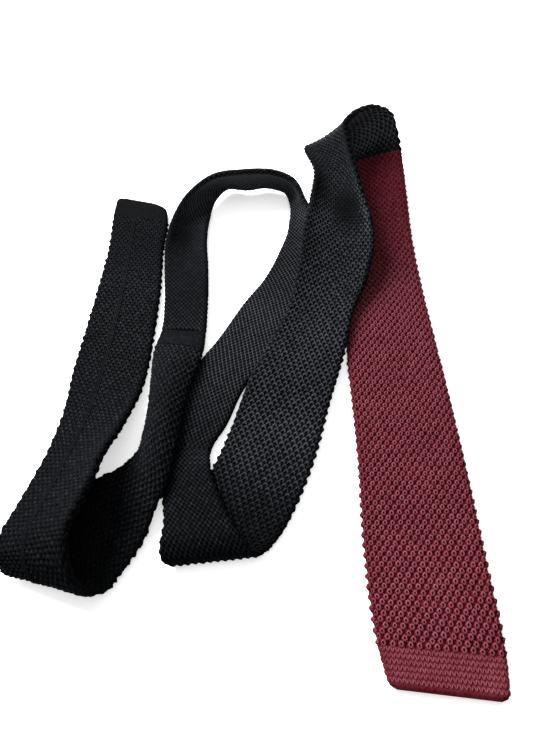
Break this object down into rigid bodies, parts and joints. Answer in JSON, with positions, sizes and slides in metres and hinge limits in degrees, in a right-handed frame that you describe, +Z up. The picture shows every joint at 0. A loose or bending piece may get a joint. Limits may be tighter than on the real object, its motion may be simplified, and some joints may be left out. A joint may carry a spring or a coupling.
{
  "type": "knit tie",
  "caption": "Long straight-ended tube of chunky knit, pressed flat and laid down loosely in folds, slim at the neck, with a differently coloured wide end.",
  "frame": {"origin": "middle of the footprint of the laid tie, at the surface it rests on", "axes": "+Z up from the surface, +Y along the long side of the footprint away from the wide end, +X to the right across it"},
  "size_m": [0.2236, 0.3538, 0.0407],
  "materials": {
    "black_knit": "matte chunky knit",
    "neck_knit": "matte fine knit",
    "burgundy_knit": "matte chunky knit"
  },
  "bodies": {
    "root": {"tail_band": "black_knit", "narrow_blade": "black_knit", "narrow_join": "black_knit", "neck_band": "neck_knit", "wide_join": "black_knit", "wide_blade_black": "black_knit", "wide_blade_burgundy": "burgundy_knit", "tip_band": "burgundy_knit"}
  },
  "joints": []
}
